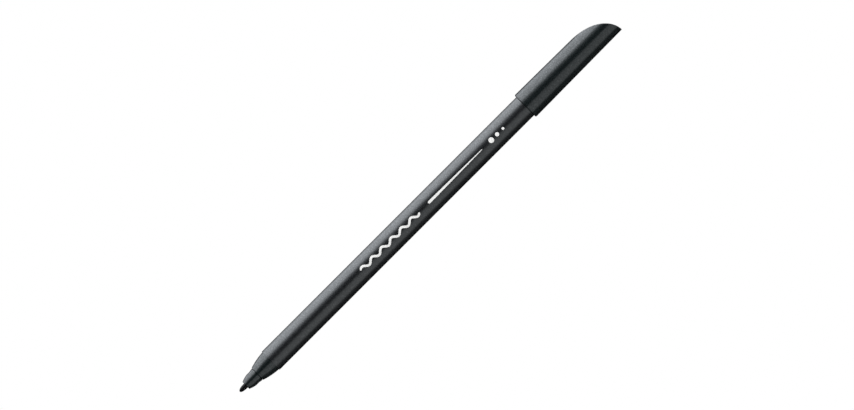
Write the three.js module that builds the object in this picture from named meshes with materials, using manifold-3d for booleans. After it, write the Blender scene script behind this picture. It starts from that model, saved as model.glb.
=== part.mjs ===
// Felt-tip pen, lying along X with its cap posted on the rear of the barrel.
// Millimetres, +Z up. The nib points to -X and the long cut of the cap's end faces up. The origin is
// under the middle of the pen's length, level with the lowest line of the cap's mouth.
//
// Every piece is turned upright about Y, with y counted from the nib's tip, or from the cap's mouth
// for the two pieces of the cap. One group lays the whole pen down at the end.

import * as THREE from "three";
import { mergeVertices } from "three/addons/utils/BufferGeometryUtils.js";
import Module from "manifold-3d";

// Fibre nib: a rod with a bullet point
const nibDiameter = 1.76;
const nibPointLength = 2.3;
const nibShow = 2.75;
const nibInReservoir = 10;

// Nose: a bullet-shaped collar that the inner cap seals on, then an ogive up to the barrel
const collarFaceDiameter = 2.7;
const collarEdgeRadius = 0.3;
const collarDiameter = 4.5;
const collarTaperLength = 2.4;
const collarTaperRadius = 10;
const collarStraightLength = 1.15;
const collarRootDiameter = 4.88;
const collarFlareLength = 1.55;
const ogiveFrontDiameter = 5.35;
const ogiveFrontChamfer = 0.06;
const ogiveLength = 5.9;
const ogiveRadius = 23;
const flangeLength = 1;
const spigotLength = 9;
const spigotChamfer = 0.4;
const nibBoreLength = 3.6;
const airChannelWidth = 1;
const airChannelReach = 1.9;

// Barrel
const barrelDiameter = 8;
const barrelWall = 0.85;
const shoulderStep = 0.26;
const barrelLength = 124.55;
const barrelFrontChamfer = 0.07;
const barrelRearChamfer = 0.25;

// Snap bead on each plug, and the groove it sits in
const beadHeight = 0.12;
const beadLength = 0.9;
const beadSetBack = 3;

// Ink reservoir: a fibre core in a thin film
const filmWall = 0.15;
const filmClearance = 0.08;
const coreClearance = 0.02;

// End plug: a cup pressed into the rear of the barrel
const plugLength = 7;
const plugWall = 0.8;
const plugFloor = 1.1;
const plugDishDepth = 0.35;
const plugDishMargin = 0.7;

// Cap: a tapered shell whose closed end is cut to a quarter ellipse
const capLength = 38.6;
const capMouthWall = 0.635;
const capNarrowing = 0.72;
const capWall = 0.78;
const capRimRadius = 0.15;
const capLeadIn = 0.12;
const postedDepth = 11.5;
const cutLength = 14.4;
const cutRise = 9.05;
const endCornerRadius = 0.3;
const gripRibs = 8;
const gripRibHeight = 0.1;
const gripRibWidth = 0.5;
const gripRibMargin = 1;

// Inner cap: a cup with fins, which closes round the collar when the cap is on the nib end
const innerCapWall = 0.5;
const innerCapFloor = 0.7;
const innerCapLip = 0.15;
const innerCapEndRadius = 0.6;
const finCount = 4;
const finWidth = 0.8;
const finLength = 5.5;
const nibTipRoom = 1.2;

// Clearances
const slideClearance = 0.05;
const pressClearance = 0.03;
const sealClearance = 0.03;
const nibClearance = 0.04;
const seatGap = 0.3;

// Flats round each turned piece, and steps along each arc of an outline
const flats = 48;
const arcSteps = 3;
const cutSteps = 12;

// How far a cutting tool stands clear of what it cuts, and how deep a rib is rooted in its wall
const overcut = 1;
const ribRoot = 0.2;

// Places along the pen, from the nib's tip
const collarY = nibShow;
const collarStraightY = collarY + collarTaperLength;
const collarFlareY = collarStraightY + collarStraightLength;
const ogiveY = collarFlareY + collarFlareLength;
const shoulderY = ogiveY + ogiveLength;
const flangeEndY = shoulderY + flangeLength;
const spigotEndY = flangeEndY + spigotLength;
const reservoirY = spigotEndY + seatGap;
const barrelEndY = shoulderY + barrelLength;
const plugY = barrelEndY - plugLength;
const reservoirEndY = plugY - seatGap;
const capMouthY = barrelEndY - postedDepth;
const penLength = capMouthY + capLength;

// Radii that follow from the fits
const barrelRadius = barrelDiameter / 2;
const boreRadius = barrelRadius - barrelWall;
const ogiveRearRadius = barrelRadius - shoulderStep;
const plugRadius = boreRadius - pressClearance;
const filmRadius = boreRadius - filmClearance;
const coreRadius = filmRadius - filmWall - coreClearance;
const nibRadius = nibDiameter / 2;
const nibBoreRadius = nibRadius + nibClearance;
const capBoreRadius = barrelRadius + slideClearance + gripRibHeight;
const capMouthRadius = capBoreRadius + capMouthWall;
const capEndRadius = capMouthRadius - capNarrowing / 2;
const sealRadius = collarRootDiameter / 2 + sealClearance;
const innerCapRadius = sealRadius + innerCapWall;

// Places along the cap, from its mouth
const stopY = postedDepth + seatGap;
const lipY = stopY + ogiveLength + seatGap;
const innerCapFloorY = stopY + shoulderY + nibTipRoom;

// The cap's outside and inside radius at a distance from the mouth
const capTaper = (capMouthRadius - capEndRadius) / (capLength - capRimRadius);
const capRadiusAt = (y) => capMouthRadius - capTaper * (y - capRimRadius);
const capInsideAt = (y) => capRadiusAt(y) - capWall;

const manifold = await Module();
manifold.setup();

// Turns an outline, drawn either way round, about Y. The middle of each flat lies on the true circle,
// and one flat faces down.
function turned(outline) {
  const toCorner = 1 / Math.cos(Math.PI / flats);
  const points = outline.getPoints(arcSteps).map(({ x, y }) => new THREE.Vector2(x * toCorner, y));
  if (THREE.ShapeUtils.area(points) < 0) {
    points.reverse();
  }
  return new THREE.LatheGeometry(points, flats, Math.PI / flats);
}

// An outline with straight sides through [radius, y] points
function outlineOf(points) {
  const outline = new THREE.Path();
  outline.setFromPoints(points.map(([radius, y]) => new THREE.Vector2(radius, y)));
  return outline;
}

// Carries an outline on to [radius, y] in an arc of a given radius that bulges away from the axis
function bulgeTo(outline, radius, y, arcRadius) {
  const start = outline.currentPoint.clone();
  const chord = new THREE.Vector2(radius, y).sub(start);
  const inward = new THREE.Vector2(-chord.y, chord.x).normalize();
  const toCentre = Math.sqrt(arcRadius ** 2 - chord.lengthSq() / 4);
  const centre = start.clone().addScaledVector(chord, 0.5).addScaledVector(inward, toCentre);
  const from = Math.atan2(start.y - centre.y, start.x - centre.x);
  const to = Math.atan2(y - centre.y, radius - centre.x);
  outline.absarc(centre.x, centre.y, arcRadius, from, to, false);
}

// Carries an outline along a raised bead or a groove of the same form, from y to y + length
function beadAlong(outline, radius, y, length) {
  outline.lineTo(radius, y);
  outline.lineTo(radius + beadHeight, y + beadHeight);
  outline.lineTo(radius + beadHeight, y + length - beadHeight);
  outline.lineTo(radius, y + length);
}

// A closed geometry as a solid that can be joined and cut
function solid(geometry) {
  geometry.deleteAttribute("normal");
  geometry.deleteAttribute("uv");
  const merged = mergeVertices(geometry);
  return new manifold.Manifold(
    new manifold.Mesh({
      numProp: 3,
      vertProperties: merged.attributes.position.array,
      triVerts: new Uint32Array(merged.index.array),
    }),
  );
}

// A solid's surface as a geometry
function surface(body) {
  const { vertProperties, triVerts } = body.getMesh();
  const geometry = new THREE.BufferGeometry();
  geometry.setAttribute("position", new THREE.BufferAttribute(vertProperties, 3));
  geometry.setIndex(new THREE.BufferAttribute(triVerts, 1));
  geometry.computeVertexNormals();
  return geometry;
}

// Upright bars round the axis, each from one radius out to another and from y to y + length
function bars(count, width, inner, outer, y, length) {
  return Array.from({ length: count }, (_, index) => {
    const bar = new THREE.BoxGeometry(width, length, outer - inner);
    bar.translate(0, y + length / 2, (inner + outer) / 2);
    bar.rotateY((index * 2 * Math.PI) / count);
    return solid(bar);
  });
}

function nib() {
  const outline = new THREE.Path();
  outline.absellipse(0, nibPointLength, nibRadius, nibPointLength, -Math.PI / 2, 0, false);
  outline.lineTo(nibRadius, reservoirY + nibInReservoir);
  outline.lineTo(0, reservoirY + nibInReservoir);
  return turned(outline);
}

function noseSection() {
  const faceRadius = collarFaceDiameter / 2;
  const outline = new THREE.Path();
  outline.moveTo(nibBoreRadius, collarY);
  outline.lineTo(faceRadius, collarY);
  bulgeTo(outline, faceRadius + collarEdgeRadius, collarY + collarEdgeRadius, collarEdgeRadius);
  bulgeTo(outline, collarDiameter / 2, collarStraightY, collarTaperRadius);
  outline.lineTo(collarDiameter / 2, collarFlareY);
  outline.lineTo(collarRootDiameter / 2, ogiveY);
  outline.lineTo(ogiveFrontDiameter / 2 - ogiveFrontChamfer, ogiveY);
  outline.lineTo(ogiveFrontDiameter / 2, ogiveY + ogiveFrontChamfer);
  bulgeTo(outline, ogiveRearRadius, shoulderY, ogiveRadius);
  outline.lineTo(ogiveRearRadius, flangeEndY - seatGap);
  outline.lineTo(plugRadius, flangeEndY - seatGap);
  beadAlong(outline, plugRadius, flangeEndY + beadSetBack, beadLength);
  outline.lineTo(plugRadius, spigotEndY - spigotChamfer);
  outline.lineTo(plugRadius - spigotChamfer, spigotEndY);
  outline.lineTo(nibBoreRadius, spigotEndY);
  outline.lineTo(nibBoreRadius, collarY);

  // Four channels beside the nib let air past it, behind the short bore that holds it at the front
  const channelY = collarY + nibBoreLength;
  const channelLength = spigotEndY - channelY + overcut;
  const channels = bars(4, airChannelWidth, 0, airChannelReach, channelY, channelLength);
  return surface(channels.reduce((body, channel) => body.subtract(channel), solid(turned(outline))));
}

function barrel() {
  const seatRadius = ogiveRearRadius + pressClearance;
  const grooveLength = beadLength + 2 * pressClearance;
  const outline = new THREE.Path();
  outline.moveTo(barrelRadius - barrelFrontChamfer, shoulderY);
  outline.lineTo(seatRadius, shoulderY);
  outline.lineTo(seatRadius, flangeEndY);
  beadAlong(outline, boreRadius, flangeEndY + beadSetBack - pressClearance, grooveLength);
  beadAlong(outline, boreRadius, plugY + beadSetBack - pressClearance, grooveLength);
  outline.lineTo(boreRadius, barrelEndY);
  outline.lineTo(barrelRadius - barrelRearChamfer, barrelEndY);
  outline.lineTo(barrelRadius, barrelEndY - barrelRearChamfer);
  outline.lineTo(barrelRadius, shoulderY + barrelFrontChamfer);
  outline.lineTo(barrelRadius - barrelFrontChamfer, shoulderY);
  return turned(outline);
}

function reservoirFilm() {
  return turned(
    outlineOf([
      [filmRadius - filmWall, reservoirY],
      [filmRadius, reservoirY],
      [filmRadius, reservoirEndY],
      [filmRadius - filmWall, reservoirEndY],
      [filmRadius - filmWall, reservoirY],
    ]),
  );
}

function inkReservoir() {
  const nibEndY = reservoirY + nibInReservoir + seatGap;
  return turned(
    outlineOf([
      [0, nibEndY],
      [nibBoreRadius, nibEndY],
      [nibBoreRadius, reservoirY],
      [coreRadius, reservoirY],
      [coreRadius, reservoirEndY],
      [0, reservoirEndY],
    ]),
  );
}

function endPlug() {
  const insideRadius = plugRadius - plugWall;
  const floorY = barrelEndY - plugFloor;
  const outline = new THREE.Path();
  outline.moveTo(0, floorY);
  outline.lineTo(insideRadius, floorY);
  outline.lineTo(insideRadius, plugY);
  outline.lineTo(plugRadius - plugWall / 2, plugY);
  outline.lineTo(plugRadius, plugY + plugWall);
  beadAlong(outline, plugRadius, plugY + beadSetBack, beadLength);
  outline.lineTo(plugRadius, barrelEndY);
  outline.lineTo(plugRadius - plugDishMargin, barrelEndY);
  outline.lineTo(plugRadius - plugDishMargin - plugDishDepth, barrelEndY - plugDishDepth);
  outline.lineTo(0, barrelEndY - plugDishDepth);
  return turned(outline);
}

// All that lies on the near side of the cap's long cut, set in by a wall. Its section is drawn with
// height along x and distance from the mouth along y, and carried across the cap.
function insideCut(wall) {
  const across = 2 * (capMouthRadius + overcut);
  const centreY = capLength - cutLength;
  const endY = capLength - wall;
  const section = new THREE.Shape();
  section.moveTo(-across, -overcut);
  section.lineTo(across, -overcut);
  section.lineTo(across, centreY);
  section.absellipse(
    -capEndRadius,
    centreY,
    cutRise - wall,
    cutLength - wall,
    0,
    Math.acos(endCornerRadius / (cutRise - wall)),
    false,
  );
  section.quadraticCurveTo(
    -capEndRadius,
    endY,
    -capEndRadius - endCornerRadius / 3,
    endY - 1.5 * endCornerRadius,
  );
  section.lineTo(-across, endY - 1.5 * endCornerRadius);
  const block = new THREE.ExtrudeGeometry(section, {
    depth: across,
    curveSegments: cutSteps,
    bevelEnabled: false,
  });
  block.translate(0, 0, -across / 2);
  block.rotateY(-Math.PI / 2);
  return solid(block);
}

function cap() {
  const outside = new THREE.Path();
  outside.moveTo(0, 0);
  outside.lineTo(capMouthRadius - capRimRadius, 0);
  bulgeTo(outside, capMouthRadius, capRimRadius, capRimRadius);
  outside.lineTo(capRadiusAt(capLength + overcut), capLength + overcut);
  outside.lineTo(0, capLength + overcut);

  const stepY = stopY + capBoreRadius - capInsideAt(stopY);
  const inside = outlineOf([
    [0, -overcut],
    [capBoreRadius + capLeadIn + overcut, -overcut],
    [capBoreRadius, capLeadIn],
    [capBoreRadius, stopY],
    [capInsideAt(stepY), stepY],
    [capInsideAt(capLength), capLength],
    [0, capLength],
  ]);

  const shell = solid(turned(outside)).intersect(insideCut(0));
  const hollow = solid(turned(inside)).intersect(insideCut(capWall));
  const ribLength = stopY - 2 * gripRibMargin;
  const ribInside = capBoreRadius - gripRibHeight;
  const ribs = bars(gripRibs, gripRibWidth, ribInside, capBoreRadius + ribRoot, gripRibMargin, ribLength);
  return surface(ribs.reduce((body, rib) => body.add(rib), shell.subtract(hollow)));
}

function innerCap() {
  const endY = innerCapFloorY + innerCapFloor;
  const outline = new THREE.Path();
  outline.moveTo(0, innerCapFloorY);
  outline.lineTo(sealRadius, innerCapFloorY);
  outline.lineTo(sealRadius, lipY + innerCapLip);
  outline.lineTo(sealRadius + innerCapLip, lipY);
  outline.lineTo(innerCapRadius - innerCapLip, lipY);
  outline.lineTo(innerCapRadius, lipY + innerCapLip);
  outline.lineTo(innerCapRadius, endY - innerCapEndRadius);
  bulgeTo(outline, innerCapRadius - innerCapEndRadius, endY, innerCapEndRadius);
  outline.lineTo(0, endY);

  // The fins fill the room up to the shell, and follow its taper
  const finY = lipY + 2 * innerCapLip;
  const room = outlineOf([
    [0, finY],
    [capInsideAt(finY) - pressClearance, finY],
    [capInsideAt(finY + finLength) - pressClearance, finY + finLength],
    [0, finY + finLength],
  ]);
  const finRoot = innerCapRadius - innerCapWall / 2;
  const blanks = bars(finCount, finWidth, finRoot, capMouthRadius, finY - overcut, finLength + 2 * overcut);
  const envelope = solid(turned(room));
  const fins = blanks.map((blank) => blank.intersect(envelope));
  return surface(fins.reduce((body, fin) => body.add(fin), solid(turned(outline))));
}

const blackPlastic = () => new THREE.MeshStandardMaterial({ color: 0x1a1b1c, roughness: 0.38, metalness: 0 });
const blackFibre = () => new THREE.MeshStandardMaterial({ color: 0x101011, roughness: 0.9, metalness: 0 });
const inkedFibre = () => new THREE.MeshStandardMaterial({ color: 0x16161a, roughness: 0.95, metalness: 0 });
const clearFilm = () => new THREE.MeshStandardMaterial({ color: 0xb9bcc0, roughness: 0.2, metalness: 0 });
const innerPlastic = () => new THREE.MeshStandardMaterial({ color: 0x232425, roughness: 0.5, metalness: 0 });

function piece(name, geometry, material) {
  const mesh = new THREE.Mesh(geometry, material);
  mesh.name = name;
  return mesh;
}

const postedCap = new THREE.Group();
postedCap.position.y = capMouthY;
postedCap.add(piece("cap", cap(), blackPlastic()), piece("inner_cap", innerCap(), innerPlastic()));

const pen = new THREE.Group();
pen.add(
  piece("nib", nib(), blackFibre()),
  piece("nose_section", noseSection(), blackPlastic()),
  piece("barrel", barrel(), blackPlastic()),
  piece("reservoir_film", reservoirFilm(), clearFilm()),
  piece("ink_reservoir", inkReservoir(), inkedFibre()),
  piece("end_plug", endPlug(), blackPlastic()),
  postedCap,
);
pen.rotation.z = -Math.PI / 2;
pen.position.set(-penLength / 2, 0, capMouthRadius);

const laidPen = new THREE.Group();
laidPen.add(pen);

export default laidPen;
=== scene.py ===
"""Looks of a felt-tip pen that lies with its cap posted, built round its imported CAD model.

Lengths are in metres and angles in radians. The pen lies along X, nib to -X, and Z is up. A place along
the pen is an x, and a profile is an array of (x, radius) points.
"""

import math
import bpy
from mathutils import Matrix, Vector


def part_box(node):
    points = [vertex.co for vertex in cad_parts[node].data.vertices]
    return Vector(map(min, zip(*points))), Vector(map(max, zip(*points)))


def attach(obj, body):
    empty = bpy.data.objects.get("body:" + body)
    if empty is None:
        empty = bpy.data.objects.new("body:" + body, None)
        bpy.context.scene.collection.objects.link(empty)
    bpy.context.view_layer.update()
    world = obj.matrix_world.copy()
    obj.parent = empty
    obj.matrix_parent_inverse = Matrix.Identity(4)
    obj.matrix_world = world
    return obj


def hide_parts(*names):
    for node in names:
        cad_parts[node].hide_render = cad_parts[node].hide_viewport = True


bl_info = {
    "name": "Felt-tip pen",
    "version": (1, 0, 0),
    "blender": (4, 5, 0),
    "location": "3D View > Sidebar > Felt-tip pen",
    "description": "Fine surfaces, materials, camera and studio for a felt-tip pen",
    "category": "Object",
}

import bmesh
import bpy
import numpy as np
from bpy.props import FloatProperty, FloatVectorProperty, IntProperty, PointerProperty
from mathutils import Matrix, Vector

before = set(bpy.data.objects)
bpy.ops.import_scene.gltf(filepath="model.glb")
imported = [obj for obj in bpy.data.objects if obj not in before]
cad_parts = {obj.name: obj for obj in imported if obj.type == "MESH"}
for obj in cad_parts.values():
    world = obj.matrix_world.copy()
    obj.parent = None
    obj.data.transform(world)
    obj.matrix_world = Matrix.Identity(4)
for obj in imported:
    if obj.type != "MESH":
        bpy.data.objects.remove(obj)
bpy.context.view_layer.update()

MM = 0.001

# Points round the nib, the two caps, every other round piece and the drum of light
NIB_ROUNDS = 64
CAP_ROUNDS = 192
ROUNDS = 128
DRUM_ROUNDS = 181

# Points across a printed stroke
STROKE_POINTS = 9

# Rows of points along each stretch of a piece
NIB_POINT_ROWS = 17
NIB_ROD_ROWS = 24
CAP_SIDE_ROWS = 40
CUT_EDGE_ROWS = 8
CUT_FACE_ROWS = 40
RIM_ROWS = 7
MOUTH_ROWS = 48
STROKE_ROWS = 241
DOT_ROWS = 41
DRUM_ROWS = 41

# Points closer to each other than this are one point
SAME_PLACE = 1e-7
# An edge between faces that turn by more than this stays sharp
SHARP_TURN = math.radians(40)

# How brightly the drum of light glows round the pen: degrees up from the camera's direction, brightness
DRUM_GLOW = (
    # Dark behind the pen and below
    (-180, 0.03), (-128, 0.04), (-79, 0.13),
    # Painted reflection of a white table
    (-72, 1.0), (-50, 1.2), (-30, 1.05), (-14, 0.9),
    # Dark between table and softbox
    (-8, 0.03), (17, 0.03),
    # Painted reflection of a softbox
    (29, 0.3), (40, 1.2), (48, 3.0), (55, 4.6), (75, 4.9), (90, 4.7), (106, 4.2), (128, 2.3), (140, 0.45),
    # Dark behind the pen and above
    (152, 0.12), (180, 0.05),
)
# How much of that is left along the pen: distance as a share of the drum's half length, share of the glow
DRUM_FADE = ((0.0, 1.0), (0.25, 0.98), (0.5, 0.85), (0.68, 0.6), (1.0, 0.0))


def extent(node):
    """Where a turned CAD node starts and ends along X, and its largest radius."""
    low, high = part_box(node)
    return low.x, high.x, (high.y - low.y) / 2


NIB_TIP, NIB_REAR, NIB_RADIUS = extent("nib")
NOSE_FRONT, NOSE_REAR, OGIVE_RADIUS = extent("nose_section")
BARREL_FRONT, BARREL_REAR, BARREL_RADIUS = extent("barrel")
PLUG_FRONT, PLUG_REAR = extent("end_plug")[:2]
CAP_MOUTH, CAP_END, CAP_RADIUS = extent("cap")
INNER_CAP_LIP, INNER_CAP_END, FIN_RADIUS = extent("inner_cap")
AXIS_Z = (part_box("barrel")[0].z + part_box("barrel")[1].z) / 2


def length(name, description, default):
    """A length in metres."""
    return FloatProperty(
        name=name, description=description, default=default, min=0.0, unit="LENGTH", precision=5
    )


def place(name, description, default):
    """A distance in metres that may be negative."""
    return FloatProperty(name=name, description=description, default=default, unit="LENGTH", precision=5)


def angle(name, description, degrees):
    """An angle."""
    return FloatProperty(
        name=name, description=description, default=math.radians(degrees), subtype="ANGLE"
    )


def amount(name, description, default):
    """A plain number."""
    return FloatProperty(name=name, description=description, default=default, min=0.0)


def whole(name, description, default, least=1, most=64):
    """A whole number of things."""
    return IntProperty(name=name, description=description, default=default, min=least, max=most)


def colour(name, description, default):
    """A linear colour."""
    return FloatVectorProperty(
        name=name, description=description, default=default, size=3, min=0.0, max=1.0, subtype="COLOR"
    )


class FeltPenNose(bpy.types.PropertyGroup):
    """Sizes of the nib and of the nose that holds it."""

    nib_point: length("Nib point", "Length of the nib's rounded point", 2.3 * MM)
    bore_gap: length("Bore gap", "Clearance round the nib", 0.04 * MM)
    face: length("Face", "Radius of the collar's flat front", 1.35 * MM)
    face_edge: length("Face edge", "Radius that rounds the collar's front edge", 0.3 * MM)
    taper: length("Taper", "Length of the collar's bullet-shaped front", 2.4 * MM)
    taper_arc: length("Taper arc", "Radius of the arc along the taper", 10 * MM)
    collar: length("Collar", "Radius of the collar's straight part", 2.25 * MM)
    straight: length("Straight", "Length of the collar's straight part", 1.15 * MM)
    flare: length("Flare", "Length over which the collar widens to its root", 1.55 * MM)
    root: length("Root", "Radius of the collar at its root", 2.44 * MM)
    groove_length: length("Groove length", "Length of the groove at the collar's root", 0.12 * MM)
    groove_depth: length("Groove depth", "Depth of the groove at the collar's root", 0.2 * MM)
    ogive: length("Ogive", "Radius of the ogive at its front", 2.675 * MM)
    ogive_edge: length("Ogive edge", "Radius that rounds the ogive's front edge", 0.23 * MM)
    ogive_arc: length("Ogive arc", "Radius of the arc along the ogive", 23 * MM)
    flange: length("Flange", "Length of the nose that sits in the barrel's mouth", 0.7 * MM)
    seat: length("Seat", "Depth of the wide seat in the barrel's mouth", 1 * MM)
    spigot_chamfer: length("Spigot chamfer", "Chamfer at the rear of the spigot", 0.4 * MM)
    bore: length("Bore", "Length of the round bore that holds the nib at the front", 3.6 * MM)
    channels: whole("Channels", "Air channels beside the nib", 4)
    channel_width: length("Channel width", "Width of an air channel", 1 * MM)
    channel_reach: length("Channel reach", "How far an air channel reaches from the axis", 1.9 * MM)


class FeltPenBarrel(bpy.types.PropertyGroup):
    """Sizes of the barrel, of the plug in its rear and of the snaps that hold plug and nose."""

    wall: length("Wall", "Wall of the barrel", 0.85 * MM)
    front_edge: length("Front edge", "Radius that rounds the barrel's front", 0.03 * MM)
    rear_edge: length("Rear edge", "Chamfer round the barrel's rear", 0.25 * MM)
    fit: length("Fit", "Clearance between pieces that are pressed together", 0.03 * MM)
    bead_height: length("Bead height", "Height of a snap bead", 0.12 * MM)
    bead_length: length("Bead length", "Length of a snap bead", 0.9 * MM)
    bead_place: length("Bead place", "From a plug's shoulder or front to its bead", 3 * MM)
    plug_wall: length("Plug wall", "Wall of the end plug", 0.8 * MM)
    plug_floor: length("Plug floor", "Floor of the end plug", 1.1 * MM)
    plug_edge: length("Plug edge", "Radius that rounds the end plug's edges", 0.05 * MM)
    dish: length("Dish", "Depth of the dish in the end plug", 0.35 * MM)
    dish_rim: length("Dish rim", "Width of the flat rim round the dish", 0.7 * MM)


class FeltPenCap(bpy.types.PropertyGroup):
    """Sizes of the cap and of the inner cap that seals the nib."""

    narrowing: length("Narrowing", "How much less the radius is at the end than at the mouth", 0.36 * MM)
    rim: length("Rim", "How far the blunt edge of the mouth's rim reaches on each side", 0.3 * MM)
    rim_power: amount("Rim power", "Power of the rim's superellipse: 1 is a chamfer and 2 an arc", 1.2)
    lead_in: length("Lead-in", "Chamfer inside the mouth", 0.12 * MM)
    mouth_wall: length("Mouth wall", "Wall at the mouth", 0.635 * MM)
    wall: length("Wall", "Wall past the barrel's stop", 0.78 * MM)
    stop: length("Stop", "Depth of the step that stops the barrel", 11.8 * MM)
    cut_length: length("Cut length", "How far the long cut reaches back from the cap's end", 16.4 * MM)
    cut_rise: length("Cut rise", "Height of the long cut above the cap's lowest line", 9.05 * MM)
    cut_along: amount("Cut power along", "Power of the cut's superellipse along the cap", 2.6)
    cut_up: amount("Cut power up", "Power of the cut's superellipse across the cap", 1.9)
    cut_edge: length("Cut edge", "How far the rounded edge of the cut reaches on each side", 0.3 * MM)
    ribs: whole("Ribs", "Grip ribs inside the mouth", 8)
    rib_height: length("Rib height", "Height of a grip rib", 0.1 * MM)
    rib_width: length("Rib width", "Width of a grip rib", 0.5 * MM)
    rib_margin: length("Rib margin", "How far a rib stays from the mouth and from the stop", 1 * MM)
    seal: length("Seal", "Radius of the inner cap's bore, which seals on the nose's collar", 2.47 * MM)
    seal_wall: length("Seal wall", "Wall of the inner cap", 0.5 * MM)
    seal_floor: length("Seal floor", "Floor of the inner cap", 0.7 * MM)
    seal_lip: length("Seal lip", "Chamfer at the inner cap's lip", 0.15 * MM)
    seal_end: length("Seal end", "Radius that rounds the inner cap's closed end", 0.6 * MM)
    fins: whole("Fins", "Fins that centre the inner cap in the shell", 4)
    fin_width: length("Fin width", "Width of a fin", 0.8 * MM)
    fin_length: length("Fin length", "Length of a fin", 5.5 * MM)


class FeltPenPrint(bpy.types.PropertyGroup):
    """Sizes and places of the plain printed marks on the barrel."""

    thickness: length("Thickness", "Thickness of the ink", 0.012 * MM)
    end_power: amount("End power", "Power of the superellipse that blunts the ends of a stroke", 60)
    wave_place: length("Wave place", "From the barrel's front to the wavy stroke", 40 * MM)
    wave_length: length("Wave length", "Length of the wavy stroke", 26 * MM)
    wave_swing: length("Wave swing", "How far the wavy stroke swings to each side", 0.62 * MM)
    wave_width: length("Wave width", "Width of the wavy stroke", 0.75 * MM)
    waves: whole("Waves", "Swings of the wavy stroke", 6)
    line_place: length("Line place", "From the barrel's front to the thinning line", 70 * MM)
    line_length: length("Line length", "Length of the thinning line", 24 * MM)
    line_width: length("Line width", "Width of the thinning line where it is widest", 0.9 * MM)
    line_loss: amount("Line loss", "Share of its width that the thinning line loses", 0.75)
    dots_place: length("Dots place", "From the barrel's front to the first dot", 98 * MM)
    dots: whole("Dots", "Dots of shrinking size", 3, least=0, most=4)
    dot_pitch: length("Dot pitch", "From one dot to the next", 2.6 * MM)
    dot_radius: length("Dot radius", "Radius of the first dot", 0.9 * MM)
    dot_loss: amount("Dot loss", "Share of the first dot's radius that each next dot loses", 0.25)


class FeltPenLooks(bpy.types.PropertyGroup):
    """Colours and gloss of the pen's materials."""

    barrel: colour("Barrel", "Satin black plastic of the barrel", (0.0048, 0.0056, 0.0068))
    barrel_gloss: amount("Barrel roughness", "Roughness of the barrel", 0.3)
    barrel_mirror: amount("Barrel specular", "Specular level of the barrel", 0.6)
    cap: colour("Cap", "Glossier black plastic of the cap, nose and plug", (0.0042, 0.0070, 0.0076))
    cap_gloss: amount("Cap roughness", "Roughness of the cap, nose and plug", 0.21)
    cap_mirror: amount("Cap specular", "Specular level of the cap, nose and plug", 0.42)
    nib: colour("Nib", "Inked fibre of the nib", (0.0006, 0.0006, 0.0007))
    inner: colour("Inner", "Matt plastic of the inner cap", (0.02, 0.02, 0.021))
    fibre: colour("Fibre", "Inked fibre of the reservoir", (0.01, 0.01, 0.012))
    film: colour("Film", "Film round the reservoir", (0.45, 0.47, 0.49))
    ink: colour("Ink", "Printed marks", (0.8, 0.8, 0.79))


class FeltPenStudio(bpy.types.PropertyGroup):
    """Camera, key light, floor and the drum of light that the pen mirrors."""

    view_width: length("View width", "Width of the camera's view", 268.3 * MM)
    centre_x: place("Centre X", "Where the view is centred along the pen", 0.37 * MM)
    centre_z: place("Centre Z", "Height of the view's centre over the pen's axis", -0.13 * MM)
    slant: angle("Slant", "How far the pen slants in the view", 45)
    distance: length("Distance", "From the camera to the pen", 0.6)
    drum_radius: length("Drum radius", "Radius of the drum of light", 0.9)
    drum_reach: length("Drum reach", "Half the length of the drum of light", 1.3)
    drum_upper: colour("Upper drum", "Tint of the drum's light from above", (0.905, 0.952, 1.0))
    drum_lower: colour("Lower drum", "Tint of the drum's light from below", (0.925, 0.975, 0.995))
    key_rise: angle("Key rise", "Height of the key light in front of the pen", 52)
    key_spread: angle("Key spread", "Size of the key light, which softens shadows", 50)
    key_light: amount("Key light", "How brightly the key light fills a white surface", 0.8)
    ambient: amount("Ambient", "Brightness of the light from all round", 0.4)
    floor: amount("Floor", "Reflectance of the floor", 0.94)
    floor_reach: length("Floor reach", "Half the width of the floor", 4.0)


class Socket:
    """A node's output that can be used in sums."""

    def __init__(self, look, output):
        self.look = look
        self.output = output

    def maths(self, operation, first, second):
        """A Math node on two values, each a number or a socket."""
        return self.look.node("ShaderNodeMath", {"operation": operation}, {0: first, 1: second})

    def __add__(self, other):
        return self.maths("ADD", self, other)

    __radd__ = __add__

    def __sub__(self, other):
        return self.maths("SUBTRACT", self, other)

    def __rsub__(self, other):
        return self.maths("SUBTRACT", other, self)

    def __mul__(self, other):
        return self.maths("MULTIPLY", self, other)

    __rmul__ = __mul__


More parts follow.
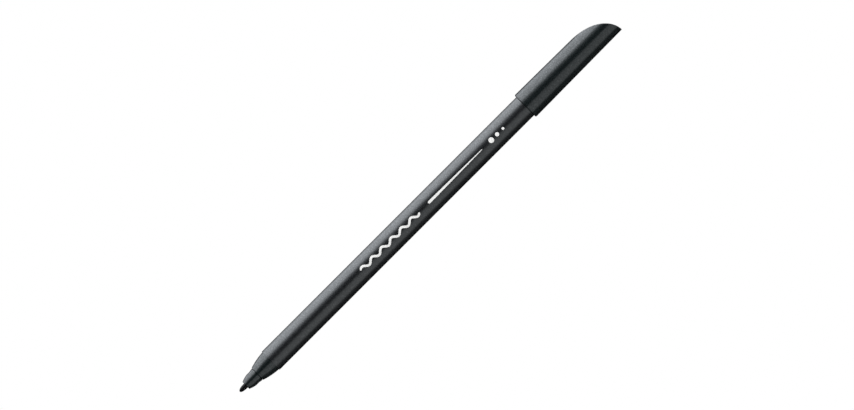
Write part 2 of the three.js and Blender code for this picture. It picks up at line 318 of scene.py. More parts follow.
class Look:
    """A new material, or a new world, under construction."""

    def __init__(self, name, kind="materials"):
        self.owner = getattr(bpy.data, kind).new(name)
        self.owner.use_nodes = True
        self.tree = self.owner.node_tree
        self.tree.nodes.clear()

    def node(self, kind, settings=None, values=None, output=0):
        """Adds a node, sets it up, fills or links its inputs and returns one of its outputs."""
        made = self.tree.nodes.new(kind)
        for name, value in (settings or {}).items():
            setattr(made, name, value)
        for key, value in (values or {}).items():
            if isinstance(value, Socket):
                self.tree.links.new(value.output, made.inputs[key])
            else:
                made.inputs[key].default_value = value
        return Socket(self, made.outputs[output]) if made.outputs else None

    def noise(self, size, stretch=(1.0, 1.0, 1.0), detail=2.0):
        """Noise from 0 to 1, its grains so many metres across and longer where the stretch is small."""
        coordinates = self.node("ShaderNodeTexCoord", output="Object")
        scale = tuple(factor / size for factor in stretch)
        spot = self.node("ShaderNodeMapping", values={"Vector": coordinates, "Scale": scale})
        return self.node("ShaderNodeTexNoise", values={"Vector": spot, "Scale": 1.0, "Detail": detail})

    def mix(self, factor, first, second):
        """One colour fading into another, through the Mix node's inputs 6 and 7 and its output 2."""
        colours = {"Factor": factor, 6: (*first, 1.0), 7: (*second, 1.0)}
        return self.node("ShaderNodeMix", {"data_type": "RGBA"}, colours, output=2)

    def bump(self, height, depth):
        """A normal from a height between 0 and 1 that stands for so many metres."""
        return self.node("ShaderNodeBump", values={"Height": height, "Distance": depth})

    def finish(self, **values):
        """Ends the material with a principled shader."""
        named = {key.replace("_", " "): value for key, value in values.items()}
        shader = self.node("ShaderNodeBsdfPrincipled", values=named)
        self.node("ShaderNodeOutputMaterial", values={"Surface": shader})
        return self.owner


def shaded(shade, factor):
    """A colour made lighter or darker."""
    return tuple(part * factor for part in shade)


def moulded_plastic(name, shade, roughness, specular):
    """Moulded black plastic: a fine spark-eroded grain, and faint smears along the pen.

    The raised spots of the grain are lighter and rougher, and carry a coat that starts at a noise of 0.47
    and is full at 0.83.
    """
    look = Look(name)
    grain = look.noise(size=0.38 * MM, detail=3.0)
    smear = look.noise(size=7 * MM, stretch=(0.3, 1.0, 1.0))
    return look.finish(
        Base_Color=look.mix(grain, shaded(shade, 0.5), shaded(shade, 1.5)),
        Roughness=roughness - 0.04 + 0.05 * grain + 0.03 * smear,
        Normal=look.bump(grain, depth=0.005 * MM),
        Coat_Weight=2.8 * grain - 1.32,
        Coat_Roughness=0.25,
        Specular_IOR_Level=specular,
    )


def barrel_plastic(looks):
    """Satin plastic of the barrel."""
    return moulded_plastic("barrel_plastic", looks.barrel, looks.barrel_gloss, looks.barrel_mirror)


def cap_plastic(looks):
    """Glossier plastic of the cap, the nose and the plug."""
    return moulded_plastic("cap_plastic", looks.cap, looks.cap_gloss, looks.cap_mirror)


def inked_nib(looks):
    """Bonded fibre, soaked with ink: deep black with a weak sheen, and fine strands along the nib."""
    look = Look("inked_nib")
    strands = look.noise(size=0.1 * MM, stretch=(0.12, 1.0, 1.0), detail=3.0)
    return look.finish(
        Base_Color=look.mix(strands, shaded(looks.nib, 0.5), shaded(looks.nib, 2.5)),
        Roughness=0.28 + 0.1 * strands,
        Normal=look.bump(strands, depth=0.02 * MM),
        IOR=1.19,
    )


def seal_plastic(looks):
    """Matt moulded plastic of the inner cap."""
    look = Look("seal_plastic")
    grain = look.noise(size=0.3 * MM, detail=3.0)
    return look.finish(
        Base_Color=look.mix(grain, looks.inner, shaded(looks.inner, 1.4)),
        Roughness=0.45 + 0.12 * grain,
        Normal=look.bump(grain, depth=0.006 * MM),
    )


def inked_core(looks):
    """Bundled fibre, dark with ink, its strands along the rod."""
    look = Look("inked_core")
    strands = look.noise(size=0.16 * MM, stretch=(0.05, 1.0, 1.0), detail=4.0)
    return look.finish(
        Base_Color=look.mix(strands, looks.fibre, shaded(looks.fibre, 3)),
        Roughness=0.75 + 0.15 * strands,
        Normal=look.bump(strands, depth=0.05 * MM),
    )


def clear_film(looks):
    """Thin film with faint lengthwise creases."""
    look = Look("clear_film")
    creases = look.noise(size=0.8 * MM, stretch=(0.04, 1.0, 1.0))
    return look.finish(
        Base_Color=look.mix(creases, looks.film, shaded(looks.film, 0.7)),
        Roughness=0.2 + 0.15 * creases,
        Normal=look.bump(creases, depth=0.03 * MM),
    )


def printed_ink(looks):
    """Pad-printed ink: almost even, with small thin spots."""
    look = Look("printed_ink")
    spots = look.noise(size=0.15 * MM)
    return look.finish(
        Base_Color=look.mix(spots, shaded(looks.ink, 0.85), looks.ink),
        Roughness=0.42 + 0.12 * spots,
        Normal=look.bump(spots, depth=0.002 * MM),
    )


def material(context, finish):
    """The material of a finish, made the first time that it is asked for."""
    made = bpy.data.materials.get(finish.__name__)
    return made or finish(context.scene.felt_pen_looks)


def angles(rounds):
    """Evenly spaced angles round the pen, from straight up towards +Y."""
    return np.linspace(0, 2 * np.pi, rounds, endpoint=False)


def from_nearest(around, count):
    """The angle from the nearest of so many evenly spaced places, the first of them straight up."""
    pitch = 2 * np.pi / count
    return np.mod(around + pitch / 2, pitch) - pitch / 2


def turned(x, radius, rounds=ROUNDS):
    """Carries a profile round the pen's axis: y = radius sin(angle), z = axis + radius cos(angle).

    The radius is one number for each x, or one for each x and angle.
    """
    around = angles(rounds)
    radius = np.reshape(radius, (len(x), -1)) + 0 * around
    x = np.reshape(x, (-1, 1)) + 0 * around
    return np.stack([x, radius * np.sin(around), AXIS_Z + radius * np.cos(around)], axis=-1)


def arc(start, end, radius, steps=16):
    """Points of an arc of this radius from start to end, with x growing, that bulges away from the axis.

    The centre lies on the chord's perpendicular bisector, on the axis' side, and the points are at even
    angles round it.
    """
    start, end = np.array(start), np.array(end)
    chord = end - start
    inward = np.array([chord[1], -chord[0]]) / np.linalg.norm(chord)
    centre = (start + end) / 2 + inward * math.sqrt(radius**2 - chord @ chord / 4)
    first, last = (math.atan2(*(point - centre)[::-1]) for point in (start, end))
    turn = np.linspace(first, last, steps + 1)
    return centre + radius * np.stack([np.cos(turn), np.sin(turn)], axis=1)


def rounded(corners, radius, steps=4, most=0.45):
    """A closed profile of (x, radius) corners, each rounded.

    A corner gets a quadratic curve that leaves and joins its sides at radius * tan(half its turn), or at
    most at this share of the shorter side, and has the corner as its middle point. Corners on the axis
    stay sharp.
    """
    corners = np.array(corners)
    before = np.roll(corners, 1, axis=0) - corners
    after = np.roll(corners, -1, axis=0) - corners
    reach_before = np.linalg.norm(before, axis=1, keepdims=True)
    reach_after = np.linalg.norm(after, axis=1, keepdims=True)
    cosine = (before * after).sum(1, keepdims=True) / reach_before / reach_after
    turn = np.pi - np.arccos(np.clip(cosine, -1, 1))
    cut = np.minimum(radius * np.tan(turn / 2), most * np.minimum(reach_before, reach_after))
    cut[corners[:, 1] <= 0] = 0
    t = np.linspace(0, 1, steps + 1)[None, :, None]
    start = (corners + before / reach_before * cut)[:, None]
    end = (corners + after / reach_after * cut)[:, None]
    curve = (1 - t) ** 2 * start + 2 * t * (1 - t) * corners[:, None] + t**2 * end
    points = curve.reshape(-1, 2)
    return points[np.linalg.norm(points - np.roll(points, 1, axis=0), axis=1) > SAME_PLACE]


def filled(profile, joined=True, longest=1 * MM, margin=0.03 * MM):
    """The same profile with more points on each side that is longer than this.

    The new points are evenly spaced from a margin after the side's start to a margin before its end, so
    that the shading of a rounded corner stays in the margin. A joined profile has one more side, from its
    last point to its first.
    """
    side = np.roll(profile, -1, axis=0) - profile
    reach = np.linalg.norm(side, axis=1)
    parts = np.where(reach > longest, np.ceil(reach / longest).astype(int), 0)
    if not joined:
        parts[-1] = 0
    counts = np.where(parts > 0, parts + 2, 1)
    reach, parts, start, side = (np.repeat(each, counts, axis=0) for each in (reach, parts, profile, side))
    within = np.arange(counts.sum()) - np.repeat(np.cumsum(counts) - counts, counts)
    distance = margin + (within - 1) * (reach - 2 * margin) / np.maximum(parts, 1)
    return start + side * np.where(within > 0, distance / reach, 0)[:, None]


def cut_open(profile):
    """A closed profile with one side on the axis, shifted so that it starts and ends there."""
    start = np.flatnonzero((profile[:, 1] <= 0) & (np.roll(profile[:, 1], 1) <= 0))[0]
    return np.roll(profile, -start, axis=0)


def bead(x, radius, sizes, slack=0.0):
    """Corners of a snap bead that starts at x, or of its groove, which is longer by slack at each end.

    Its sides rise at 45 degrees to a flat top.
    """
    start, end = x - slack, x + sizes.bead_length + slack
    height = sizes.bead_height
    top = radius + height
    return [(start, radius), (start + height, top), (end - height, top), (end, radius)]


def star(around, count, width, reach, core, least_turn=1e-6):
    """Radius of a round core with flat-sided arms of this width that reach so far from the axis.

    At an angle from an arm's middle, the radius is the less of its reach and of width / 2 / sin(angle).
    An angle below the least turn would make that endless, and is taken as the least turn.
    """
    away = np.abs(from_nearest(around, count))
    side = width / 2 / np.sin(np.maximum(away, least_turn))
    return np.maximum(np.minimum(side, reach), core)


def add_object(name, data):
    """A new object in the scene."""
    made = bpy.data.objects.new(name, data)
    bpy.context.scene.collection.objects.link(made)
    return made


def add_surface(name, points, joined_rows):
    """A mesh from a grid of points, whose columns go round and whose rows may join up too.

    Rows or columns that shrink to a point are merged into a pole. Faces that enclose a negative volume
    point inwards, and are turned round.
    """
    rows, columns = points.shape[:2]
    started = np.arange(rows if joined_rows else rows - 1)
    row, column = np.meshgrid(started, np.arange(columns), indexing="ij")
    next_row, next_column = (row + 1) % rows, (column + 1) % columns
    corners = [(row, column), (next_row, column), (next_row, next_column), (row, next_column)]
    quads = np.stack([r * columns + c for r, c in corners], axis=-1).reshape(-1, 4)
    mesh = bpy.data.meshes.new(name)
    mesh.vertices.add(rows * columns)
    mesh.vertices.foreach_set("co", points.reshape(-1).astype(np.float32))
    mesh.loops.add(quads.size)
    mesh.loops.foreach_set("vertex_index", quads.reshape(-1).astype(np.int32))
    mesh.polygons.add(len(quads))
    mesh.polygons.foreach_set("loop_start", np.arange(0, quads.size, 4, dtype=np.int32))
    mesh.update(calc_edges=True)
    sewn = bmesh.new()
    sewn.from_mesh(mesh)
    bmesh.ops.remove_doubles(sewn, verts=sewn.verts, dist=SAME_PLACE)
    if sewn.calc_volume(signed=True) < 0:
        bmesh.ops.reverse_faces(sewn, faces=sewn.faces)
    sewn.to_mesh(mesh)
    sewn.free()
    mesh.shade_smooth()
    mesh.set_sharp_from_angle(angle=SHARP_TURN)
    return add_object(name, mesh)


def dress(context, piece, finish, slot, body, *nodes):
    """Gives a piece its material and the body that it rides on, and hides the CAD nodes that it stands for.
    The slot is not used.
    """
    piece.data.materials.append(material(context, finish))
    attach(piece, body)
    if nodes:
        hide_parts(*nodes)


class FELTPEN_OT_nib(bpy.types.Operator):
    """Build the fibre nib"""

    bl_idname = "felt_pen.nib"
    bl_label = "Nib"

    def execute(self, context):
        nose = context.scene.felt_pen_nose
        # The point is a quarter ellipse: x = tip + length (1 - cos(turn)), radius = full radius sin(turn)
        turn = np.linspace(0, np.pi / 2, NIB_POINT_ROWS)
        point = np.stack([NIB_TIP + nose.nib_point * (1 - np.cos(turn)), NIB_RADIUS * np.sin(turn)], axis=1)
        rod = np.linspace((NIB_TIP + nose.nib_point, NIB_RADIUS), (NIB_REAR, NIB_RADIUS), NIB_ROD_ROWS)
        profile = np.concatenate([point, rod[1:], [(NIB_REAR, 0.0)]])
        piece = add_surface("nib_rod", turned(*profile.T, rounds=NIB_ROUNDS), joined_rows=False)
        dress(context, piece, inked_nib, "nib_fibre", "pen", "nib")
        return {"FINISHED"}


class FELTPEN_OT_nose(bpy.types.Operator):
    """Build the nose: collar, ogive, spigot and the bore with its air channels"""

    bl_idname = "felt_pen.nose"
    bl_label = "Nose"

    def execute(self, context):
        nose, barrel = context.scene.felt_pen_nose, context.scene.felt_pen_barrel
        bore = NIB_RADIUS + nose.bore_gap
        spigot = BARREL_RADIUS - barrel.wall - barrel.fit
        edge = (NOSE_FRONT + nose.face_edge, nose.face + nose.face_edge)
        straight_x = NOSE_FRONT + nose.taper
        flare_x = straight_x + nose.straight
        ogive_x = flare_x + nose.flare
        ogive_start = (ogive_x + nose.ogive_edge, nose.ogive)
        flange_x = BARREL_FRONT + nose.flange
        bead_x = BARREL_FRONT + nose.seat + barrel.bead_place
        outside = np.concatenate([
            arc((NOSE_FRONT, nose.face), edge, nose.face_edge, steps=8),
            arc(edge, (straight_x, nose.collar), nose.taper_arc)[1:],
            [(flare_x, nose.collar), (ogive_x - nose.groove_length, nose.root)],
            [(ogive_x, nose.root - nose.groove_depth)],
            arc((ogive_x, nose.ogive - nose.ogive_edge), ogive_start, nose.ogive_edge, steps=6),
            arc(ogive_start, (BARREL_FRONT, OGIVE_RADIUS), nose.ogive_arc, steps=32)[1:],
            [(flange_x, OGIVE_RADIUS), (flange_x, spigot)],
            bead(bead_x, spigot, barrel),
            [(NOSE_REAR - nose.spigot_chamfer, spigot), (NOSE_REAR, spigot - nose.spigot_chamfer)],
        ])
        # The bore has its air channels from the rear to channel_x, and is round from there to the front
        hole = np.full(ROUNDS, bore)
        channels = star(angles(ROUNDS), nose.channels, nose.channel_width, nose.channel_reach, bore)
        channel_x = NOSE_FRONT + nose.bore
        inside_x = [NOSE_REAR, (NOSE_REAR + channel_x) / 2, channel_x, channel_x, NOSE_FRONT]
        inside = turned(inside_x, np.stack([channels, channels, channels, hole, hole]))
        rows = np.concatenate([turned(*filled(outside, joined=False).T), inside])
        piece = add_surface("nose", rows, joined_rows=True)
        dress(context, piece, cap_plastic, "black_plastic", "pen", "nose_section")
        return {"FINISHED"}


class FELTPEN_OT_barrel(bpy.types.Operator):
    """Build the barrel with its seat and snap grooves"""

    bl_idname = "felt_pen.barrel"
    bl_label = "Barrel"

    def execute(self, context):
        nose, barrel = context.scene.felt_pen_nose, context.scene.felt_pen_barrel
        bore = BARREL_RADIUS - barrel.wall
        seat = OGIVE_RADIUS + barrel.fit
        floor_x = BARREL_FRONT + nose.seat
        front, rear = barrel.front_edge, barrel.rear_edge
        corners = [
            (BARREL_FRONT, seat),
            (floor_x, seat),
            (floor_x, bore),
            *bead(floor_x + barrel.bead_place, bore, barrel, slack=barrel.fit),
            *bead(PLUG_FRONT + barrel.bead_place, bore, barrel, slack=barrel.fit),
            (BARREL_REAR, bore),
            (BARREL_REAR, BARREL_RADIUS - rear),
            (BARREL_REAR - rear, BARREL_RADIUS),
            (BARREL_FRONT + front, BARREL_RADIUS),
            (BARREL_FRONT, BARREL_RADIUS - front),
        ]
        piece = add_surface("barrel_tube", turned(*filled(rounded(corners, front)).T), joined_rows=True)
        dress(context, piece, barrel_plastic, "black_plastic", "pen", "barrel")
        return {"FINISHED"}


class FELTPEN_OT_end_plug(bpy.types.Operator):
    """Build the plug that closes the barrel's rear"""

    bl_idname = "felt_pen.end_plug"
    bl_label = "End plug"

    def execute(self, context):
        barrel = context.scene.felt_pen_barrel
        radius = BARREL_RADIUS - barrel.wall - barrel.fit
        floor_x = PLUG_REAR - barrel.plug_floor
        dish_x = PLUG_REAR - barrel.dish
        corners = [
            (floor_x, 0.0),
            (floor_x, radius - barrel.plug_wall),
            (PLUG_FRONT, radius - barrel.plug_wall),
            (PLUG_FRONT, radius - barrel.plug_wall / 2),
            (PLUG_FRONT + barrel.plug_wall, radius),
            *bead(PLUG_FRONT + barrel.bead_place, radius, barrel),
            (PLUG_REAR, radius),
            (PLUG_REAR, radius - barrel.dish_rim),
            (dish_x, radius - barrel.dish_rim - barrel.dish),
            (dish_x, 0.0),
        ]
        profile = cut_open(filled(rounded(corners, barrel.plug_edge)))
        piece = add_surface("rear_plug", turned(*profile.T), joined_rows=False)
        dress(context, piece, cap_plastic, "black_plastic", "pen", "end_plug")
        return {"FINISHED"}


def round_side(s, radius, around):
    """Points of the cap's round side: s from the mouth, y = radius sin(angle), z = radius cos(angle)."""
    s, radius, around = np.broadcast_arrays(s, radius, around)
    return np.stack([s, radius * np.sin(around), radius * np.cos(around)], axis=-1)


def cut_line(around, radius_at, cap, start, reach, rise, floor, tries=40):
    """How far along the cap each lengthwise line of its round side meets the long cut.

    The cut is ((s - start) / reach)^along + ((z - floor) / rise)^up = 1 with z = radius(s) cos(angle). The
    radius hardly changes along the cap, so solving for s again and again with the last radius settles fast.
    """
    s = np.full_like(around, start + reach)
    for _ in range(tries):
        height = np.clip((radius_at(s) * np.cos(around) - floor) / rise, 0, 1)
        s = start + reach * (1 - height**cap.cut_up) ** (1 / cap.cut_along)
    return s


def closed_end(around, radius_at, first, cap, wall, edge, crowding=1.5):
    """Rows of points along the cap's round side, over the rounded edge and to the middle of the long cut.

    The round side is a tapered tube from first to just short of the cut. The edge is a quadratic curve
    between both surfaces. The cut's face is a disc on the cylinder s = start + reach sin(turn)^(2 / along),
    z = floor + rise cos(turn)^(2 / up): its rings shrink in (y, turn) towards a pole, and they crowd near
    the edge. The wall is how far all this lies inside the cap's outside.
    """
    start = CAP_END - CAP_MOUTH - cap.cut_length
    reach, rise = cap.cut_length - wall, cap.cut_rise - wall
    floor = cap.narrowing - CAP_RADIUS
    along, up = 2 / cap.cut_along, 2 / cap.cut_up
    meets = cut_line(around, radius_at, cap, start, reach, rise, floor)
    spread = (1 - np.cos(np.linspace(0, np.pi, CAP_SIDE_ROWS)))[:, None] / 2
    s = first + spread * (meets - edge - first)
    side = round_side(s, radius_at(s), around)

    rim = round_side(meets, radius_at(meets), around)
    height = np.clip((rim[:, 2] - floor) / rise, 0, 1)
    turn = np.arctan2(((meets - start) / reach) ** (1 / along), height ** (1 / up))
    middle = (turn.min() + turn.max()) / 2
    pole = np.array([start + reach * np.sin(middle) ** along, 0, floor + rise * np.cos(middle) ** up])
    inset = 1 - edge / np.linalg.norm(rim - pole, axis=1)
    ring = inset * (1 - np.linspace(0, 1, CUT_FACE_ROWS)[:, None] ** crowding)
    ring_turn = middle + ring * (turn - middle)
    face_s = start + reach * np.sin(ring_turn) ** along
    face = np.stack([face_s, ring * rim[:, 1], floor + rise * np.cos(ring_turn) ** up], axis=-1)
    t = np.linspace(0, 1, CUT_EDGE_ROWS)[1:-1, None, None]
    curve = (1 - t) ** 2 * side[-1] + 2 * t * (1 - t) * rim + t**2 * face[0]
    return np.concatenate([side, curve, face])


def blunt_rim(around, cap):
    """Rows of points from the cap's round side over the edge of its rim to the flat face of its mouth.

    The edge is (1 - s / reach)^power + (1 - depth / reach)^power = 1, its depth measured from the outside.
    """
    turn = np.linspace(0, np.pi / 2, RIM_ROWS)[1:, None]
    blunt = 2 / cap.rim_power
    s = cap.rim * (1 - np.sin(turn) ** blunt)
    depth = cap.rim * (1 - np.cos(turn) ** blunt)
    return round_side(s, CAP_RADIUS - depth, around)


def ribbed_mouth(around, bore, cap):
    """Rows of points from the cap's lead-in down to the barrel's stop, with grip ribs round the bore.

    A rib is a raised cosine: it stands height (1 + cos(2 pi across)) / 2 proud of the bore, where across
    runs from -1/2 to 1/2 over its width.
    """
    s = np.linspace(cap.lead_in, cap.stop, MOUTH_ROWS)[:, None]
    across = from_nearest(around, cap.ribs) * bore / cap.rib_width
    raised = np.where(np.abs(across) < 0.5, 0.5 + 0.5 * np.cos(2 * np.pi * across), 0)
    ribbed = (s > cap.rib_margin) & (s < cap.stop - cap.rib_margin)
    return round_side(s, bore - cap.rib_height * raised * ribbed, around)


class FELTPEN_OT_cap(bpy.types.Operator):
    """Build the hollow cap with its long cut and grip ribs"""

    bl_idname = "felt_pen.cap"
    bl_label = "Cap"

    def execute(self, context):
        cap = context.scene.felt_pen_cap
        around = angles(CAP_ROUNDS)
        taper = cap.narrowing / (CAP_END - CAP_MOUTH - cap.rim)
        bore = CAP_RADIUS - cap.mouth_wall

        def outside(s):
            """Radius of the tapered outside."""
            return CAP_RADIUS - taper * (s - cap.rim)

        def inside(s):
            """Radius of the hollow past the barrel's stop."""
            return outside(s) - cap.wall

        # The step from the bore to the narrower hollow slopes at about 45 degrees
        step = cap.stop + bore - inside(cap.stop)
        outer = closed_end(around, outside, cap.rim, cap, 0.0, cap.cut_edge)
        inner = closed_end(around, inside, step, cap, cap.wall, cap.cut_edge / 2)
        lead_in = round_side(np.zeros((1, 1)), bore + cap.lead_in, around)
        mouth = [blunt_rim(around, cap), lead_in, ribbed_mouth(around, bore, cap)]
        rows = np.concatenate([outer[::-1], *mouth, inner]) + np.array([CAP_MOUTH, 0, AXIS_Z])
        piece = add_surface("cap_shell", rows, joined_rows=False)
        dress(context, piece, cap_plastic, "black_plastic", "posted_cap", "cap")
        return {"FINISHED"}


class FELTPEN_OT_inner_cap(bpy.types.Operator):
    """Build the inner cap, a cup with fins"""

    bl_idname = "felt_pen.inner_cap"
    bl_label = "Inner cap"

    def execute(self, context):
        cap = context.scene.felt_pen_cap
        lip, end, radius = INNER_CAP_LIP, INNER_CAP_END, cap.seal + cap.seal_wall
        bore = [
            (end - cap.seal_floor, 0.0),
            (end - cap.seal_floor, cap.seal),
            (lip + cap.seal_lip, cap.seal),
            (lip, cap.seal + cap.seal_lip),
            (lip, radius - cap.seal_lip),
            (lip + cap.seal_lip, radius),
        ]
        dome = arc((end - cap.seal_end, radius), (end, radius - cap.seal_end), cap.seal_end, steps=10)
        closing = np.concatenate([dome, [(end, 0.0)]])
        cup = np.full(CAP_ROUNDS, radius)
        fins = star(angles(CAP_ROUNDS), cap.fins, cap.fin_width, FIN_RADIUS, radius)
        fin_x = lip + 2 * cap.seal_lip
        fin_end = fin_x + cap.fin_length
        rows = [
            turned(*np.transpose(bore), CAP_ROUNDS),
            turned([fin_x, fin_x, fin_end, fin_end], [cup, fins, fins, cup], CAP_ROUNDS),
            turned(*closing.T, CAP_ROUNDS),
        ]
        piece = add_surface("seal_cup", np.concatenate(rows), joined_rows=False)
        dress(context, piece, seal_plastic, "inner_plastic", "posted_cap", "inner_cap")
        return {"FINISHED"}


class FELTPEN_OT_reservoir(bpy.types.Operator):
    """Finish the reservoir's fibre and film, which keep their own shapes"""

    bl_idname = "felt_pen.reservoir"
    bl_label = "Reservoir"

    def execute(self, context):
        for node, finish in {"reservoir_film": clear_film, "ink_reservoir": inked_core}.items():
            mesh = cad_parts[node].data
            mesh.materials.clear()
            mesh.materials.append(material(context, finish))
        return {"FINISHED"}


def stroke(x, sideways, half_width, thickness):
    """Rows of points of a printed stroke that follows a line on the barrel.

    The line's points lie at x and sideways from the line that faces the camera, measured round the
    barrel. Each row crosses the stroke at right angles, out under the surface and back just over it: with
    turn = sideways / barrel radius, y = -radius cos(turn) and z = axis + radius sin(turn).
    """
    along = np.stack([np.gradient(x), np.gradient(sideways)])
    along /= np.linalg.norm(along, axis=0)
    across = np.linspace(-1, 1, STROKE_POINTS)
    reach = np.concatenate([across, across[::-1]]) * half_width[:, None]
    radius = BARREL_RADIUS + np.repeat([-thickness, thickness], STROKE_POINTS)
    turn = (sideways[:, None] + along[0][:, None] * reach) / BARREL_RADIUS
    stroke_x = x[:, None] - along[1][:, None] * reach
    return np.stack([stroke_x, -radius * np.cos(turn), AXIS_Z + radius * np.sin(turn)], axis=-1)


class FELTPEN_OT_print(bpy.types.Operator):
    """Build the plain printed marks: a wavy stroke, a thinning line and dots"""

    bl_idname = "felt_pen.print"
    bl_label = "Print"

    def execute(self, context):
        marks = context.scene.felt_pen_print
        t = np.linspace(0, 1, STROKE_ROWS)
        # Both strokes keep their width nearly to the ends, and close there along a superellipse
        blunt = np.sqrt(1 - np.abs(2 * t - 1) ** marks.end_power)
        wave_x = BARREL_FRONT + marks.wave_place + marks.wave_length * t
        wave = marks.wave_swing * np.sin(2 * np.pi * marks.waves * t)
        line_x = BARREL_FRONT + marks.line_place + marks.line_length * t
        line_half = marks.line_width / 2 * blunt * (1 - marks.line_loss * t)
        strokes = [
            ("wavy_stroke", stroke(wave_x, wave, marks.wave_width / 2 * blunt, marks.thickness)),
            ("thinning_line", stroke(line_x, 0 * t, line_half, marks.thickness)),
        ]
        turn = np.linspace(0, np.pi, DOT_ROWS)
        for index in range(marks.dots):
            radius = marks.dot_radius * (1 - marks.dot_loss * index)
            dot_x = BARREL_FRONT + marks.dots_place + index * marks.dot_pitch - radius * np.cos(turn)
            dot = stroke(dot_x, 0 * turn, radius * np.sin(turn), marks.thickness)
            strokes.append((f"dot_{index + 1}", dot))
        for name, points in strokes:
            dress(context, add_surface(name, points, joined_rows=False), printed_ink, "print", "pen")
        return {"FINISHED"}


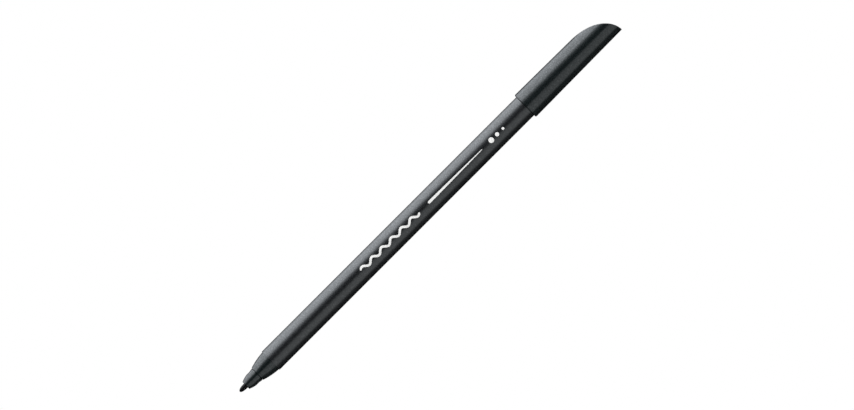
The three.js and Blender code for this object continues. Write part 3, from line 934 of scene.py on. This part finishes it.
class FELTPEN_OT_stage(bpy.types.Operator):
    """Set up the camera, key light, floor, background and the drum of light that the pen mirrors"""

    bl_idname = "felt_pen.stage"
    bl_label = "Camera, lamps and floor"

    def execute(self, context):
        studio = context.scene.felt_pen_studio
        self.camera(context, studio)
        self.key(studio)
        self.floor(studio)
        self.drum(studio)
        self.world(context, studio)
        context.scene.view_settings.view_transform = "Standard"
        return {"FINISHED"}

    def camera(self, context, studio):
        """A level camera that looks along +Y and is rolled so that the pen slants."""
        lens = bpy.data.cameras.new("camera")
        lens.type = "ORTHO"
        lens.ortho_scale = studio.view_width
        eye = add_object("camera", lens)
        right = Vector((math.cos(studio.slant), 0, -math.sin(studio.slant)))
        up = Vector((math.sin(studio.slant), 0, math.cos(studio.slant)))
        turn = Matrix((right, up, Vector((0, -1, 0)))).transposed()
        spot = Vector((studio.centre_x, -studio.distance, AXIS_Z + studio.centre_z))
        eye.matrix_world = Matrix.Translation(spot) @ turn.to_4x4()
        context.scene.camera = eye

    def key(self, studio):
        """A wide soft key light from the front and above, which leaves no reflection."""
        light = bpy.data.lights.new("key", "SUN")
        light.energy = studio.key_light * math.pi
        light.angle = studio.key_spread
        lamp = add_object("key", light)
        lamp.matrix_world = Matrix.Rotation(math.pi / 2 - studio.key_rise, 4, "X")
        lamp.visible_glossy = False

    def floor(self, studio):
        """A wide plain floor just under the pen, which the pen's gloss doesn't mirror."""
        look = Look("floor")
        shade = look.node("ShaderNodeBsdfDiffuse", values={"Color": (studio.floor,) * 3 + (1.0,)})
        look.node("ShaderNodeOutputMaterial", values={"Surface": shade})
        corners = [[(-1, -1, 0), (1, -1, 0)], [(-1, 1, 0), (1, 1, 0)]]
        piece = self.sheet("floor", studio.floor_reach * np.array(corners), look.owner)
        piece.visible_glossy = False

    def drum(self, studio):
        """A closed drum round pen and camera, which only reflections see.

        Its points are (x, -radius cos(angle), axis + radius sin(angle)), and it glows with the product of
        two curves, one over the angle and one over x: a painted reflection of a softbox above and a painted
        reflection of a white table below.
        """
        turn = np.linspace(-math.pi, math.pi, DRUM_ROUNDS)
        share = np.concatenate([[-1], np.linspace(-1, 1, DRUM_ROWS), [1]])[:, None]
        radius = studio.drum_radius * np.concatenate([[0], np.ones(DRUM_ROWS), [0]])[:, None]
        x = studio.drum_reach * share + 0 * turn
        grid = np.stack([x, -radius * np.cos(turn), AXIS_Z + radius * np.sin(turn)], axis=-1)
        # The glow paints the reflections of a softbox and of a white table, which only the pen's gloss sees
        glow_round = np.interp(np.degrees(turn), *np.transpose(DRUM_GLOW))
        glow = glow_round * np.interp(abs(share), *np.transpose(DRUM_FADE))
        tint = np.where(turn[:, None] > 0, studio.drum_upper, studio.drum_lower)
        look = Look("drum_light")
        paint = look.node("ShaderNodeVertexColor", {"layer_name": "glow"})
        light = look.node("ShaderNodeEmission", values={"Color": paint})
        look.node("ShaderNodeOutputMaterial", values={"Surface": light})
        piece = self.sheet("drum", grid, look.owner)
        painted = np.concatenate([glow[..., None] * tint, np.ones((*glow.shape, 1))], axis=-1)
        layer = piece.data.color_attributes.new("glow", "FLOAT_COLOR", "POINT")
        layer.data.foreach_set("color", painted.reshape(-1).astype(np.float32))
        piece.visible_camera = False
        piece.visible_diffuse = False
        piece.visible_shadow = False

    def sheet(self, name, grid, finish):
        """An open sheet through a grid of points that isn't part of the object."""
        rows, columns = grid.shape[:2]
        start = (np.arange(rows - 1)[:, None] * columns + np.arange(columns - 1)).reshape(-1, 1)
        quads = start + np.array([0, 1, columns + 1, columns])
        mesh = bpy.data.meshes.new(name)
        mesh.from_pydata(grid.reshape(-1, 3).tolist(), [], quads.tolist())
        mesh.materials.append(finish)
        piece = add_object(name, mesh)
        return piece

    def world(self, context, studio):
        """White where the camera or a reflection sees it, and a dim light on the object."""
        look = Look("studio", kind="worlds")
        camera = look.node("ShaderNodeLightPath", output="Is Camera Ray")
        glossy = look.node("ShaderNodeLightPath", output="Is Glossy Ray")
        through = look.node("ShaderNodeLightPath", output="Is Transmission Ray")
        seen = camera + glossy + through
        strength = studio.ambient + (1 - studio.ambient) * seen
        white = (1.0, 1.0, 1.0, 1.0)
        glow = look.node("ShaderNodeBackground", values={"Color": white, "Strength": strength})
        look.node("ShaderNodeOutputWorld", values={"Surface": glow})
        context.scene.world = look.owner


class FELTPEN_PT_panel(bpy.types.Panel):
    """Buttons that build the pen"""

    bl_idname = "FELTPEN_PT_panel"
    bl_label = "Felt-tip pen"
    bl_space_type = "VIEW_3D"
    bl_region_type = "UI"
    bl_category = "Felt-tip pen"

    def draw(self, context):
        for operator in OPERATORS:
            self.layout.operator(operator.bl_idname)


OPERATORS = (
    FELTPEN_OT_stage,
    FELTPEN_OT_nib,
    FELTPEN_OT_nose,
    FELTPEN_OT_barrel,
    FELTPEN_OT_end_plug,
    FELTPEN_OT_cap,
    FELTPEN_OT_inner_cap,
    FELTPEN_OT_reservoir,
    FELTPEN_OT_print,
)
GROUPS = {
    "felt_pen_nose": FeltPenNose,
    "felt_pen_barrel": FeltPenBarrel,
    "felt_pen_cap": FeltPenCap,
    "felt_pen_print": FeltPenPrint,
    "felt_pen_looks": FeltPenLooks,
    "felt_pen_studio": FeltPenStudio,
}
CLASSES = (*GROUPS.values(), *OPERATORS, FELTPEN_PT_panel)


def register():
    """Makes the classes known to Blender and gives each scene its groups of sizes."""
    for entry in CLASSES:
        bpy.utils.register_class(entry)
    for name, group in GROUPS.items():
        setattr(bpy.types.Scene, name, PointerProperty(type=group))


def unregister():
    """Takes away what register gave."""
    for name in GROUPS:
        delattr(bpy.types.Scene, name)
    for entry in reversed(CLASSES):
        bpy.utils.unregister_class(entry)


def main():
    """Builds the pen and its stage."""
    register()
    for operator in OPERATORS:
        group, name = operator.bl_idname.split(".")
        getattr(getattr(bpy.ops, group), name)()


if __name__ == "__main__":
    main()
